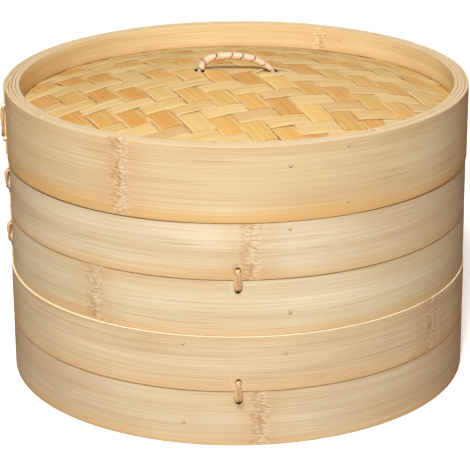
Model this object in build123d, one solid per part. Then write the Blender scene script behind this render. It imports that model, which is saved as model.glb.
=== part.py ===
from build123d import *
import os
from math import sqrt

# Round bamboo steamer basket: two stacking tiers with slatted floors and a lid with a woven dome.
# Millimetres. +Z is up, the origin is on the axis at the bottom rim, and the front faces -Y.
# Angles round the axis start at the front and grow towards +X.

# ---- driving dimensions -------------------------------------------------------------------
WALL_RADIUS = 125.0         # outside of the lower tier and of the lid
UPPER_TIER_INSET = 1.4      # the upper tier is wound this much smaller
WALL_SPLIT_RADIUS = 121.0   # outer bands end here, drums and inner hoops start here
INNER_RADIUS = 117.0        # inside of the drums
BAND_HEIGHT = 30.0          # two bands are stacked on each tier
LID_HEIGHT = 40.0
LIP_HEIGHT = 8.0            # how far a drum stands up into what is stacked on it
SOCKET_DEPTH = 9.5          # recess under each tier that takes the lip below
SOCKET_CLEARANCE = 0.4      # round the lip, on the radius
GLUE_GAP = 0.05             # between curved faces of one body
EDGE_BEVEL = 0.7            # worn edges of the rims

SLAT_COUNT = 9
SLAT_WIDTH = 20.5
SLAT_GAP = 3.8
SLAT_THICKNESS = 2.6
FLOOR_HEIGHT = 15.0         # underside of the slats above the tier's bottom
CROSS_BAR_SPREAD = 90.0     # between the middles of the two bars under the slats
CROSS_BAR_WIDTH = 9.0
FLOOR_RING_WIDTH = 6.0
HOLD_DOWN_WIDTH = 3.4
HOLD_DOWN_HEIGHT = 6.4

DOME_CROWN = 163.6          # top of the weave in the middle of the lid
DOME_EDGE = 145.6           # top of the weave at the hoop
MAT_THICKNESS = 2.4
LINING_THICKNESS = 1.0
BOW_HEIGHT = 7.0
BOW_WIDTH = 5.0
BOW_SPREAD = 90.0

HANDLE_SPAN = 40.0          # between the middles of the two legs
HANDLE_TOP = 173.8
HANDLE_KNEE = 164.4         # height at which the legs lean inwards
HANDLE_CROWN_SPAN = 17.0    # nearly level stretch at the top
KNEE_BEND = 5.0             # radii of the cane's middle line
SHOULDER_BEND = 14.0
CANE_RADIUS = 1.3
WRAP_RADIUS = 2.1
WRAP_FOOT = 164.9           # height at which the wrapping starts
PIVOT_HEIGHT = 154.5        # the stick that both legs are hooked round
PIVOT_RADIUS = 2.0
PIVOT_CLEARANCE = 0.1
EYE_RADIUS = 3.6
EYE_WIDTH = 4.4
LEG_HOLE_RADIUS = 2.9       # leaves room for the legs to rock

PEG_RADIUS = 1.1
PEG_HEAD = 0.2              # how far a peg stands proud
STITCH_WIDTH = 4.3
SEAM_STITCH_LENGTH = 12.6
LAP_STITCH_LENGTH = 12.0
LID_STITCH_LENGTH = 20.0
STITCH_PROUD = 1.3
LAP_STITCH_PROUD = 2.2      # the lapped end under the strands lifts them
STITCH_LEG_RADIUS = 1.3

# ---- worked-out sizes ---------------------------------------------------------------------
TIER_HEIGHT = 2 * BAND_HEIGHT
LID_BOTTOM = 2 * TIER_HEIGHT
LID_TOP = LID_BOTTOM + LID_HEIGHT
SOCKET_RADIUS = WALL_SPLIT_RADIUS + SOCKET_CLEARANCE
DRUM_RADIUS = WALL_SPLIT_RADIUS - GLUE_GAP
DRUM_BOTTOM = SOCKET_DEPTH + 0.5
FLOOR_EDGE = INNER_RADIUS - GLUE_GAP
SLAT_TOP = FLOOR_HEIGHT + SLAT_THICKNESS
DOME_RISE = DOME_CROWN - DOME_EDGE
DOME_SPHERE = (DRUM_RADIUS ** 2 + DOME_RISE ** 2) / (2 * DOME_RISE)
DOME_CENTRE = DOME_CROWN - DOME_SPHERE
LINING_SPHERE = DOME_SPHERE - MAT_THICKNESS
BOW_SPHERE = LINING_SPHERE - LINING_THICKNESS
HANDLE_MIDDLE = HANDLE_TOP - WRAP_RADIUS

TIERS = {
    "lower": {"bottom": 0.0, "radius": WALL_RADIUS},
    "upper": {"bottom": TIER_HEIGHT, "radius": WALL_RADIUS - UPPER_TIER_INSET},
}

# Pegs as (angle in degrees, height above the tier's bottom). All of them reach into the drum.
TIER_PEGS = {
    "lower": [(-13, 55.5), (11, 50.2), (-13, 12.0), (107, 55.5), (107, 12.0), (227, 52.0), (227, 12.0)],
    "upper": [(12, 56.3), (12, 12.0), (132, 56.3), (132, 12.0), (252, 54.0), (252, 12.0)],
}
# Stitches over the joint of two bands, in degrees, and stitches over a band's own lapped end, as
# (angle in degrees, height of the stitch's middle above the tier's bottom).
SEAM_STITCHES = [0, 120, 240]
LAP_STITCHES = {
    "lower": [(205, 15.5), (160, 46.0)],
    "upper": [(-86, 15.5), (-86, 46.0)],
}
# The lid's pegs and its one long lap stitch stand at heights above the lid's bottom.
LID_PEGS_DEEP = [(26, 36.3), (12, 29.2), (149, 34.0), (262, 33.0)]
LID_PEGS_SHORT = [(26, 7.4), (206, 7.4)]
LID_STITCH = (-86, 18.0)


# ---- shapes -------------------------------------------------------------------------------
def sphere_height(sphere_radius, radius):
    """Height of one of the dome's concentric spheres at a distance from the axis."""
    return DOME_CENTRE + sqrt(sphere_radius ** 2 - radius ** 2)


def turned(points):
    """Solid of revolution about the axis, from a closed outline of (radius, height) points."""
    outline = make_face(Polyline(*points, close=True))
    return revolve(Plane.XZ * outline, Axis.Z)


def bevelled_ring(inner, outer, bottom, top):
    """Flat hoop with its four edges taken off."""
    e = EDGE_BEVEL
    return turned([
        (inner + e, bottom), (outer - e, bottom), (outer, bottom + e), (outer, top - e),
        (outer - e, top), (inner + e, top), (inner, top - e), (inner, bottom + e),
    ])


def socketed_band(outer, bottom, top):
    """Outer hoop whose lower inside edge is shaved back to take the lip of what is below."""
    e = EDGE_BEVEL
    step = bottom + SOCKET_DEPTH
    return turned([
        (SOCKET_RADIUS, bottom), (outer - e, bottom), (outer, bottom + e), (outer, top - e),
        (outer - e, top), (WALL_SPLIT_RADIUS, top), (WALL_SPLIT_RADIUS, step), (SOCKET_RADIUS, step),
    ])


def plain_band(outer, bottom, top):
    """Outer hoop with its outside edges taken off, square against the drum inside it."""
    e = EDGE_BEVEL
    return turned([
        (WALL_SPLIT_RADIUS, bottom), (outer - e, bottom), (outer, bottom + e), (outer, top - e),
        (outer - e, top), (WALL_SPLIT_RADIUS, top),
    ])


def dome_shell(outer_sphere, inner_sphere, radius):
    """Shallow dome between two concentric spheres, out to a radius."""
    def on_sphere(sphere, r):
        return (r, sphere_height(sphere, r))

    top = ThreePointArc(on_sphere(outer_sphere, 0), on_sphere(outer_sphere, radius / 2),
                        on_sphere(outer_sphere, radius))
    rim = Line(on_sphere(outer_sphere, radius), on_sphere(inner_sphere, radius))
    bottom = ThreePointArc(on_sphere(inner_sphere, radius), on_sphere(inner_sphere, radius / 2),
                           on_sphere(inner_sphere, 0))
    axis = Line(on_sphere(inner_sphere, 0), on_sphere(outer_sphere, 0))
    return revolve(Plane.XZ * make_face([top, rim, bottom, axis]), Axis.Z)


def round_bar(radius, length, along):
    """Cylinder along X, Y or Z, centred on the origin."""
    turn = {"x": Rot(0, 90, 0), "y": Rot(90, 0, 0), "z": Rot(0, 0, 0)}[along]
    return turn * Cylinder(radius, length)


def at_wall(angle, height, shape):
    """Turns a shape that was made at the front to an angle, and lifts it to a height."""
    return Rot(0, 0, angle) * Pos(0, 0, height) * shape


def peg(inner, outer):
    """Bamboo peg at the front, driven in from the outside."""
    length = outer + PEG_HEAD - inner
    return Pos(0, -(inner + length / 2), 0) * round_bar(PEG_RADIUS, length, "y")


def stitch_legs(outer, length, proud):
    """The two ends of a stitch, where they go into the wall at the front."""
    inner = SOCKET_RADIUS + 0.3
    depth = outer + proud / 2 - inner
    reach = length / 2 - STITCH_LEG_RADIUS
    leg = Pos(0, -(inner + depth / 2), 0) * round_bar(STITCH_LEG_RADIUS, depth, "y")
    return [Pos(0, 0, reach) * leg, Pos(0, 0, -reach) * leg]


def stitch(outer, length, proud):
    """Rattan stitch at the front: a rounded bar on the wall with its two ends in the wall."""
    bar = Box(STITCH_WIDTH, proud, length)
    bar = fillet(bar.edges().filter_by(Axis.Y), STITCH_WIDTH / 2 - 0.3)
    bar = fillet(bar.faces().sort_by(Axis.Y)[0].edges(), proud * 0.6)
    bar = Pos(0, -(outer + GLUE_GAP + proud / 2), 0) * bar
    low, high = stitch_legs(outer, length, proud)
    return bar + low + high


def save(name, shape):
    """Writes one node. A list of separate solids becomes one node with several solids."""
    if isinstance(shape, list):
        shape = Compound(children=shape)
    export_step(shape, f"parts/{name}.step")


# ---- tiers --------------------------------------------------------------------------------
def build_tier(name, bottom, radius):
    """All pieces of one tier: wall, floor, pegs and stitches."""
    peg_inner = INNER_RADIUS + 0.2
    pegs = [at_wall(a, bottom + z, peg(peg_inner, radius)) for a, z in TIER_PEGS[name]]
    places = [(a, BAND_HEIGHT, SEAM_STITCH_LENGTH, STITCH_PROUD) for a in SEAM_STITCHES]
    places += [(a, z, LAP_STITCH_LENGTH, LAP_STITCH_PROUD) for a, z in LAP_STITCHES[name]]
    stitches = [at_wall(a, bottom + z, stitch(radius, length, proud)) for a, z, length, proud in places]
    stitch_holes = [
        at_wall(a, bottom + z, leg)
        for a, z, length, proud in places for leg in stitch_legs(radius, length, proud)
    ]

    low_band = socketed_band(radius, bottom, bottom + BAND_HEIGHT)
    top_band = plain_band(radius, bottom + BAND_HEIGHT, bottom + TIER_HEIGHT)
    drum = bevelled_ring(INNER_RADIUS, DRUM_RADIUS, bottom + DRUM_BOTTOM,
                         bottom + TIER_HEIGHT + LIP_HEIGHT)
    save(f"{name}_bottom_band", low_band - pegs - stitch_holes)
    save(f"{name}_top_band", top_band - pegs - stitch_holes)
    save(f"{name}_drum", drum - pegs)
    save(f"{name}_pegs", pegs)
    save(f"{name}_rattan_stitches", stitches)
    build_floor(name, bottom)


def build_floor(name, bottom):
    """The slatted floor: a ring and two bars under the slats, and a ring that holds them down."""
    ring_bottom = bottom + DRUM_BOTTOM
    ring_inner = FLOOR_EDGE - FLOOR_RING_WIDTH
    slat_bottom = bottom + FLOOR_HEIGHT
    slat_top = bottom + SLAT_TOP
    save(f"{name}_floor_ring", turned([
        (ring_inner, ring_bottom), (FLOOR_EDGE, ring_bottom),
        (FLOOR_EDGE, slat_bottom), (ring_inner, slat_bottom),
    ]))
    hold_inner = FLOOR_EDGE - HOLD_DOWN_WIDTH
    save(f"{name}_hold_down_ring", turned([
        (hold_inner, slat_top), (FLOOR_EDGE, slat_top),
        (FLOOR_EDGE, slat_top + HOLD_DOWN_HEIGHT), (hold_inner + 1.5, slat_top + HOLD_DOWN_HEIGHT),
        (hold_inner, slat_top + HOLD_DOWN_HEIGHT - 1.5),
    ]))

    bar_height = FLOOR_HEIGHT - DRUM_BOTTOM
    inside_ring = Cylinder(ring_inner - GLUE_GAP, bar_height)
    for side, label in [(-1, "front"), (1, "back")]:
        bar = Pos(0, side * CROSS_BAR_SPREAD / 2, 0) * Box(2 * WALL_RADIUS, CROSS_BAR_WIDTH, bar_height)
        save(f"{name}_cross_bar_{label}", Pos(0, 0, ring_bottom + bar_height / 2) * (bar & inside_ring))

    inside_drum = Cylinder(FLOOR_EDGE, SLAT_THICKNESS)
    pitch = SLAT_WIDTH + SLAT_GAP
    for number in range(SLAT_COUNT):
        x = (number - (SLAT_COUNT - 1) / 2) * pitch
        slat = Pos(x, 0, 0) * Box(SLAT_WIDTH, 2 * WALL_RADIUS, SLAT_THICKNESS)
        middle = slat_bottom + SLAT_THICKNESS / 2
        save(f"{name}_slat_{number + 1}", Pos(0, 0, middle) * (slat & inside_drum))


# ---- lid ----------------------------------------------------------------------------------
def build_lid():
    """The lid's hoops, the woven dome with its lining and bows, and the stick for the handle."""
    deep_pegs = [at_wall(a, LID_BOTTOM + z, peg(INNER_RADIUS + 0.2, WALL_RADIUS)) for a, z in LID_PEGS_DEEP]
    short_inner = SOCKET_RADIUS + 0.3
    short_pegs = [at_wall(a, LID_BOTTOM + z, peg(short_inner, WALL_RADIUS)) for a, z in LID_PEGS_SHORT]
    pegs = deep_pegs + short_pegs
    stitch_angle, stitch_height = LID_STITCH
    stitch_size = (WALL_RADIUS, LID_STITCH_LENGTH, LAP_STITCH_PROUD)
    stitches = at_wall(stitch_angle, LID_BOTTOM + stitch_height, stitch(*stitch_size))
    holes = [at_wall(stitch_angle, LID_BOTTOM + stitch_height, leg) for leg in stitch_legs(*stitch_size)]

    upper_hoop_bottom = sphere_height(DOME_SPHERE, INNER_RADIUS) + GLUE_GAP
    lower_hoop_top = sphere_height(BOW_SPHERE, DRUM_RADIUS) - GLUE_GAP
    lower_hoop_bottom = LID_BOTTOM + SOCKET_DEPTH
    outer_hoop = socketed_band(WALL_RADIUS, LID_BOTTOM, LID_TOP)
    upper_hoop = bevelled_ring(INNER_RADIUS, DRUM_RADIUS, upper_hoop_bottom, LID_TOP)
    lower_hoop = bevelled_ring(INNER_RADIUS, DRUM_RADIUS, lower_hoop_bottom, lower_hoop_top)
    save("lid_outer_hoop", outer_hoop - pegs - holes)
    save("lid_upper_inner_hoop", upper_hoop - deep_pegs)
    save("lid_lower_inner_hoop", lower_hoop)
    save("lid_pegs", pegs)
    save("lid_rattan_stitch", stitches)

    leg_holes = [
        Pos(side * HANDLE_SPAN / 2, 0, DOME_CROWN) * round_bar(LEG_HOLE_RADIUS, 20, "z")
        for side in (-1, 1)
    ]
    save("lid_woven_dome", dome_shell(DOME_SPHERE, LINING_SPHERE, DRUM_RADIUS) - leg_holes)
    save("lid_lining", dome_shell(LINING_SPHERE, BOW_SPHERE, DRUM_RADIUS) - leg_holes)

    bow_shell = dome_shell(BOW_SPHERE, BOW_SPHERE - BOW_HEIGHT, FLOOR_EDGE)
    stick_length = BOW_SPREAD + 3 * BOW_WIDTH
    stick = Pos(0, 0, PIVOT_HEIGHT) * round_bar(PIVOT_RADIUS, stick_length, "x")
    for side, label in [(-1, "left"), (1, "right")]:
        slice_box = Pos(side * BOW_SPREAD / 2, 0, DOME_EDGE) * Box(BOW_WIDTH, 2 * WALL_RADIUS, 60)
        save(f"lid_bow_{label}", (bow_shell & slice_box) - stick)
    save("lid_handle_stick", stick)


# ---- handle -------------------------------------------------------------------------------
def arch(section_radius):
    """Round bar along the handle's middle line, from one eye up, across and down to the other."""
    half = HANDLE_SPAN / 2
    crown = HANDLE_CROWN_SPAN / 2
    left = [(-half, 0, PIVOT_HEIGHT), (-half, 0, HANDLE_KNEE), (-crown, 0, HANDLE_MIDDLE)]
    right = [(-x, y, z) for x, y, z in reversed(left)]
    path = FilletPolyline(*left, *right, radius=[KNEE_BEND, SHOULDER_BEND, SHOULDER_BEND, KNEE_BEND])
    section = Plane(origin=(-half, 0, PIVOT_HEIGHT), z_dir=(0, 0, 1)) * Circle(section_radius)
    return sweep(section, path=path)


def build_handle():
    """A bent cane with an eye at each foot, hooked round the stick, and the strip wound on it."""
    core = arch(CANE_RADIUS)
    for side in (-1, 1):
        place = Pos(side * HANDLE_SPAN / 2, 0, PIVOT_HEIGHT)
        core = core + place * round_bar(EYE_RADIUS, EYE_WIDTH, "x")
    for side in (-1, 1):
        place = Pos(side * HANDLE_SPAN / 2, 0, PIVOT_HEIGHT)
        core = core - place * round_bar(PIVOT_RADIUS + PIVOT_CLEARANCE, EYE_WIDTH, "x")
    save("handle_core", core)
    bare_legs = Pos(0, 0, WRAP_FOOT - HANDLE_SPAN) * Box(2 * HANDLE_SPAN, HANDLE_SPAN, 2 * HANDLE_SPAN)
    save("handle_wrap", arch(WRAP_RADIUS) - arch(CANE_RADIUS + GLUE_GAP) - bare_legs)


os.makedirs("parts", exist_ok=True)
for tier_name, tier in TIERS.items():
    build_tier(tier_name, tier["bottom"], tier["radius"])
build_lid()
build_handle()
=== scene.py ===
import math
import bmesh
import bpy
import numpy as np
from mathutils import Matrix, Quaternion, Vector


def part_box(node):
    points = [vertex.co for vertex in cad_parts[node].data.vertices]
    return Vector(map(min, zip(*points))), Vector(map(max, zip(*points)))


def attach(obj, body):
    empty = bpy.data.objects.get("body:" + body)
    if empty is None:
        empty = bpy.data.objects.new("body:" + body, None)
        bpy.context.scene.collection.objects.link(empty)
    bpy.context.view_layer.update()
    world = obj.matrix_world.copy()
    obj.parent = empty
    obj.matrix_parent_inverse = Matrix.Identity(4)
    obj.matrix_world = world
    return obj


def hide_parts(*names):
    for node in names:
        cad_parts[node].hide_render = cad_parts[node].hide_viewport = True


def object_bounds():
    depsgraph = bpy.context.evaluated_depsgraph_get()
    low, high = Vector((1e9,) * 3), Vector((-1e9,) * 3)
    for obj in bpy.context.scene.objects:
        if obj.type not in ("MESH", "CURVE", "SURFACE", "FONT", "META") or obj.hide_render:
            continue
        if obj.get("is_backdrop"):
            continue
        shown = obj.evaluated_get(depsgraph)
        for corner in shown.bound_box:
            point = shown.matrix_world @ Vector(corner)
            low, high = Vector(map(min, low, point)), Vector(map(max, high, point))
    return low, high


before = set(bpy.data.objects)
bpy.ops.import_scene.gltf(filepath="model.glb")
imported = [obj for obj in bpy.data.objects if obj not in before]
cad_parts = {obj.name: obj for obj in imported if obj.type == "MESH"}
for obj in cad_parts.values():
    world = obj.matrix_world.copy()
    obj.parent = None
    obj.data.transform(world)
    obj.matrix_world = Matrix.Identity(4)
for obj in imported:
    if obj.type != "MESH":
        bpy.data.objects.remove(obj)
cad_low, cad_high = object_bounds()

# Bamboo steamer basket. Metres, +Z up, front faces -Y. Angles round the axis start at the front
# and grow towards +X.

MM = 0.001
TURN = 2 * math.pi
UP = np.array([0.0, 0.0, 1.0])
SIDEWAYS = np.array([0.0, 1.0, 0.0])    # at right angles to the handle
rng = np.random.default_rng(7)

# ---- driving sizes ----
GLUE_GAP = 0.05 * MM            # between round faces that are glued together
DRUM_THICKNESS = 3.95 * MM
SOCKET_DEPTH = 9.5 * MM         # recess that takes the lip of the tier below
SOCKET_CLEARANCE = 0.4 * MM
DOME_EDGE_HEIGHT = 25.6 * MM    # top of the weave at the hoop, above the lid's bottom
MAT_THICKNESS = 2.4 * MM        # of the whole weave
LINING_THICKNESS = 1.0 * MM
BOW_HEIGHT = 7.0 * MM
FLOOR_RING_WIDTH = 6.0 * MM
HOLD_DOWN_WIDTH = 3.4 * MM
PEG_RADIUS = 1.1 * MM
# How much thicker than its CAD piece a wall gets at most. See leaning.
WALL_LEAN = {"lower": 0.0, "upper": 1.0 * MM}

# Places of pegs and stitches, as angle in degrees and height in mm above the tier's or lid's bottom.
TIER_PEGS = {
    "lower": [(-13, 55.5), (11, 50.2), (-13, 12.0), (107, 55.5), (107, 12.0), (227, 52.0), (227, 12.0)],
    "upper": [(12, 56.3), (12, 12.0), (132, 56.3), (132, 12.0), (252, 54.0), (252, 12.0)],
}
LID_PEGS = [(26, 36.3), (12, 29.2), (149, 34.0), (262, 33.0), (26, 7.4), (206, 7.4)]
SEAM_STITCHES = [0, 120, 240]   # angles only, as these stand over the joint of two bands
LAP_STITCHES = {"lower": [(205, 15.5), (160, 46.0)], "upper": [(-86, 15.5), (-86, 46.0)]}
LID_STITCH = (-86, 18.0)
SEAM_STITCH_LENGTH = 12.6 * MM
LAP_STITCH_LENGTH = 12.0 * MM
LID_STITCH_LENGTH = 20.0 * MM
BODIES = {"lower": "lower_tier", "upper": "upper_tier", "lid": "lid"}


# ---- sizes read from the CAD nodes ----
def outer_radius(node):
    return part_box(node)[1][0]


def heights(node):
    low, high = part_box(node)
    return low[2], high[2]


LID_RADIUS = outer_radius("lid_outer_hoop")
DRUM_RADIUS = outer_radius("lower_drum")
SPLIT_RADIUS = DRUM_RADIUS + GLUE_GAP
INNER_RADIUS = DRUM_RADIUS - DRUM_THICKNESS
SOCKET_RADIUS = SPLIT_RADIUS + SOCKET_CLEARANCE
TIER_BOTTOM = {"lower": heights("lower_bottom_band")[0], "upper": heights("upper_bottom_band")[0]}
BAND_HEIGHT = heights("lower_bottom_band")[1] - heights("lower_bottom_band")[0]
LID_BOTTOM = heights("lid_outer_hoop")[0]
DOME_CROWN = heights("lid_woven_dome")[1]
DOME_RISE = DOME_CROWN - (LID_BOTTOM + DOME_EDGE_HEIGHT)
DOME_SPHERE = (DRUM_RADIUS ** 2 + DOME_RISE ** 2) / (2 * DOME_RISE)
DOME_CENTRE = DOME_CROWN - DOME_SPHERE


# ---- small maths ----
def smooth(x):
    """Smooth step from 0 to 1 as x goes from 0 to 1."""
    x = np.clip(x, 0.0, 1.0)
    return x * x * (3 - 2 * x)


class Wobble:
    """Sum of a few sine waves, the same each run: the unevenness of hand work."""

    def __init__(self, waves, lowest, highest):
        self.parts = [
            (rng.integers(lowest, highest + 1), rng.uniform(0, TURN), rng.uniform(0.4, 1.0))
            for _ in range(waves)
        ]
        self.total = sum(p[2] for p in self.parts)

    def __call__(self, angle):
        """Between -1 and 1. Angle in radians."""
        return sum(w * np.sin(n * angle + phase) for n, phase, w in self.parts) / self.total


def on_wall(angle, radius, z):
    """Points at angles round the axis, in radians from the front."""
    return np.stack([radius * np.sin(angle), -radius * np.cos(angle), z], axis=-1)


def wall_axes(degrees):
    """Two directions at an angle round the axis: along the wall, and straight out of it."""
    a = math.radians(degrees)
    return np.array([math.cos(a), math.sin(a), 0.0]), np.array([math.sin(a), -math.cos(a), 0.0])


def tangents(path):
    """Unit direction of a path at each of its points."""
    tangent = np.gradient(path, axis=0)
    return tangent / np.linalg.norm(tangent, axis=1)[:, None]


def lengths_along(path):
    """Distance along a path from its start to each of its points."""
    return np.concatenate([[0], np.cumsum(np.linalg.norm(np.diff(path, axis=0), axis=1))])


# ---- mesh helpers ----
def new_object(name, points, faces, material, body, replaces, floats, colours=None):
    """Mesh object with per-point values that its material reads."""
    mesh = bpy.data.meshes.new(name)
    mesh.from_pydata([tuple(p) for p in points], [], [tuple(f) for f in faces])
    floats = dict(floats)
    floats.setdefault("level", np.full(len(mesh.vertices), 0.5))
    for key, values in floats.items():
        layer = mesh.attributes.new(key, "FLOAT", "POINT")
        layer.data.foreach_set("value", np.asarray(values, dtype=np.float32).ravel())
    for key, values in (colours or {}).items():
        layer = mesh.attributes.new(key, "FLOAT_COLOR", "POINT")
        layer.data.foreach_set("color", np.asarray(values, dtype=np.float32).ravel())
    mesh.validate()
    mesh.update()
    mesh.shade_smooth()
    obj = bpy.data.objects.new(name, mesh)
    bpy.context.scene.collection.objects.link(obj)
    obj.data.materials.append(material)
    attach(obj, body)
    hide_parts(*replaces)
    return obj


def tube_faces(rows, columns, closed_rows=False):
    """Quads of a tube whose cross-sections are the rows. Open ends get a cap."""
    faces = []
    for r in range(rows if closed_rows else rows - 1):
        a = r * columns
        b = ((r + 1) % rows) * columns
        for c in range(columns):
            d = (c + 1) % columns
            faces.append((a + c, a + d, b + d, b + c))
    if not closed_rows:
        faces.append(tuple(range(columns - 1, -1, -1)))
        last = (rows - 1) * columns
        faces.append(tuple(last + c for c in range(columns)))
    return faces


def sides(count):
    """Angles of a tube's sides."""
    return TURN * np.arange(count) / count


def tube_points(path, across_axis, up_axis, across, up):
    """Points of a tube round a path, from their places along two axes at right angles to it."""
    path, across_axis, up_axis = (np.atleast_2d(p)[:, None] for p in (path, across_axis, up_axis))
    return (path + across_axis * across[..., None] + up_axis * up[..., None]).reshape(-1, 3)


def join_meshes(parts):
    """Joins (points, faces) pairs into one."""
    points = []
    faces = []
    for p, f in parts:
        base = len(points)
        points.extend(p)
        faces.extend(tuple(i + base for i in face) for face in f)
    return points, faces


def sharpen(obj, degrees):
    """Keeps edges sharper than an angle from being smoothed over."""
    mesh = obj.data
    work = bmesh.new()
    work.from_mesh(mesh)
    bmesh.ops.recalc_face_normals(work, faces=work.faces)
    limit = math.radians(degrees)
    for edge in work.edges:
        edge.smooth = len(edge.link_faces) == 2 and edge.calc_face_angle(0) < limit
    work.to_mesh(mesh)
    work.free()


# ---- materials ----
class Shader:
    """Builds one procedural material with a Principled shader."""

    def __init__(self, name, roughness):
        self.material = bpy.data.materials.new(name)
        self.material.use_nodes = True
        self.tree = self.material.node_tree
        self.principled = self.tree.nodes["Principled BSDF"]
        self.constant("Roughness", roughness)

    def constant(self, socket, value):
        """Gives one of the Principled shader's own sockets a constant."""
        self.principled.inputs[socket].default_value = value

    def node(self, kind, **settings):
        made = self.tree.nodes.new(kind)
        for key, value in settings.items():
            setattr(made, key, value)
        return made

    def link(self, source, target):
        self.tree.links.new(source, target)

    def feed(self, socket, value):
        """Links a socket to another one, or gives it a number, vector or colour."""
        if isinstance(value, (int, float)):
            socket.default_value = value
        elif isinstance(value, tuple):
            needs_alpha = len(value) == 3 and len(socket.default_value) == 4
            socket.default_value = (*value, 1.0) if needs_alpha else value
        else:
            self.link(value, socket)

    def value(self, attribute):
        return self.node("ShaderNodeAttribute", attribute_name=attribute).outputs["Fac"]

    def colour(self, attribute):
        return self.node("ShaderNodeAttribute", attribute_name=attribute).outputs["Color"]

    def math(self, operation, a, b=0.0):
        made = self.node("ShaderNodeMath", operation=operation)
        for socket, value in zip(made.inputs, (a, b)):
            self.feed(socket, value)
        return made.outputs[0]

    def plus(self, a, b):
        return self.math("ADD", a, b)

    def times(self, a, b):
        return self.math("MULTIPLY", a, b)

    def swing(self, noise, amount):
        """A noise about 0.5 turned into a change about 0."""
        return self.times(self.math("SUBTRACT", noise, 0.5), amount)

    def vector(self, x, y, z):
        made = self.node("ShaderNodeCombineXYZ")
        for socket, value in zip(made.inputs, (x, y, z)):
            self.feed(socket, value)
        return made.outputs[0]

    def noise(self, vector, detail, rough=0.5, distortion=0.0):
        made = self.node("ShaderNodeTexNoise")
        self.feed(made.inputs["Vector"], vector)
        made.inputs["Scale"].default_value = 1.0
        made.inputs["Detail"].default_value = detail
        made.inputs["Roughness"].default_value = rough
        made.inputs["Distortion"].default_value = distortion
        return made.outputs["Fac"]

    def grain(self, u, v, along, across, seed, detail=2.0, rough=0.5):
        """Noise on a strip, with so many waves a metre along it and across it."""
        return self.noise(self.vector(self.times(u, along), self.times(v, across), seed), detail, rough)

    def place_noise(self, scale, detail, rough=0.5, distortion=0.0):
        """Noise by place on a piece, with so many waves a metre along X, Y and Z."""
        scaled = self.node("ShaderNodeMapping")
        scaled.inputs["Scale"].default_value = scale
        self.link(self.node("ShaderNodeTexCoord").outputs["Object"], scaled.inputs["Vector"])
        return self.noise(scaled.outputs[0], detail, rough, distortion)

    def spread(self, value, low, high, to_low=0.0, to_high=1.0):
        """Smooth step from to_low to to_high as the value goes from low to high."""
        made = self.node("ShaderNodeMapRange")
        made.interpolation_type = "SMOOTHSTEP"
        for socket, v in zip(made.inputs, (value, low, high, to_low, to_high)):
            self.feed(socket, v)
        return made.outputs[0]

    def mix(self, amount, a, b):
        made = self.node("ShaderNodeMix", data_type="RGBA", blend_type="MIX")
        self.feed(made.inputs["Factor"], amount)
        self.feed(made.inputs["A"], a)
        self.feed(made.inputs["B"], b)
        return made.outputs["Result"]

    def bump(self, height, strength, distance):
        made = self.node("ShaderNodeBump")
        made.inputs["Strength"].default_value = strength
        made.inputs["Distance"].default_value = distance
        self.feed(made.inputs["Height"], height)
        self.link(made.outputs["Normal"], self.principled.inputs["Normal"])

    def finish(self, colour, roughness=None):
        self.feed(self.principled.inputs["Base Color"], colour)
        if roughness is not None:
            self.feed(self.principled.inputs["Roughness"], roughness)
        return self.material


# Colours laid over a strip's own tone.
OCHRE_FIBRE = (0.66, 0.37, 0.14)
BROWN_HAIR = (0.50, 0.27, 0.10)
GREEN_SKIN = (0.80, 0.67, 0.36)
TAN_SKIN = (0.78, 0.50, 0.25)
# Painted warm bounce light, laid on a strip's lower edge next to the seam below.
PAINTED_BOUNCE_ORANGE = (0.86, 0.50, 0.165)
BROWN_ARRIS = (0.62, 0.37, 0.15)
NODE_HALO = (0.72, 0.42, 0.19)
NODE_BROWN = (0.66, 0.38, 0.17)
NODE_TAN = (0.80, 0.60, 0.36)
NODE_PALE_FLECK = (0.93, 0.80, 0.59)
NODE_DARK_FLECK = (0.48, 0.27, 0.12)
NODE_CORE = (0.42, 0.22, 0.09)


def node_marks(s, colour, height, u, v, v_bent, scar, seed):
    """Adds the ragged, flecked mark that a node of the stem leaves across a strip, to the colour and
    to the height of its bumps."""
    # Each fibre ends a little earlier or later at the node, so its outline is ragged.
    jag_wide = s.noise(s.vector(seed, s.times(v, 170.0), 2.0), 2.0)
    jag_fine = s.noise(s.vector(seed, s.times(v, 1300.0), 5.0), 2.0)
    placed = s.plus(scar, s.plus(s.swing(jag_wide, 4.5), s.swing(jag_fine, 6.0)))
    distance = s.math("ABSOLUTE", placed)
    zone = s.spread(distance, 6.0, 3.4)
    core = s.spread(distance, 1.5, 0.3)
    halo = s.spread(s.math("ABSOLUTE", scar), 24.0, 1.0)
    patches = s.grain(u, v, 130.0, 110.0, seed + 31.0, 3.0)
    slanted = s.plus(s.times(u, 380.0), s.times(v, 520.0))
    flecks = s.noise(s.vector(slanted, s.times(v_bent, 1250.0), seed + 37.0), 2.0, 0.55)

    colour = s.mix(s.times(halo, s.times(patches, 0.75)), colour, NODE_HALO)
    before = s.times(zone, s.spread(placed, 1.2, -1.2))
    colour = s.mix(s.times(before, s.spread(patches, 0.35, 0.62, 0.15, 0.62)), colour, NODE_BROWN)
    after = s.times(zone, s.spread(placed, -1.2, 1.2))
    colour = s.mix(s.times(after, 0.30), colour, NODE_TAN)
    pale_side = s.times(zone, s.spread(placed, -4.0, 1.0, 0.35, 1.0))
    light_fleck = s.times(pale_side, s.spread(flecks, 0.50, 0.40))
    colour = s.mix(s.times(light_fleck, 0.66), colour, NODE_PALE_FLECK)
    dark_fleck = s.times(zone, s.spread(flecks, 0.55, 0.65))
    colour = s.mix(s.times(dark_fleck, 0.62), colour, NODE_DARK_FLECK)
    colour = s.mix(s.times(core, s.spread(patches, 0.44, 0.62, 0.0, 0.5)), colour, NODE_CORE)
    return colour, s.plus(height, s.times(zone, s.times(flecks, 2.0)))


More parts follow.
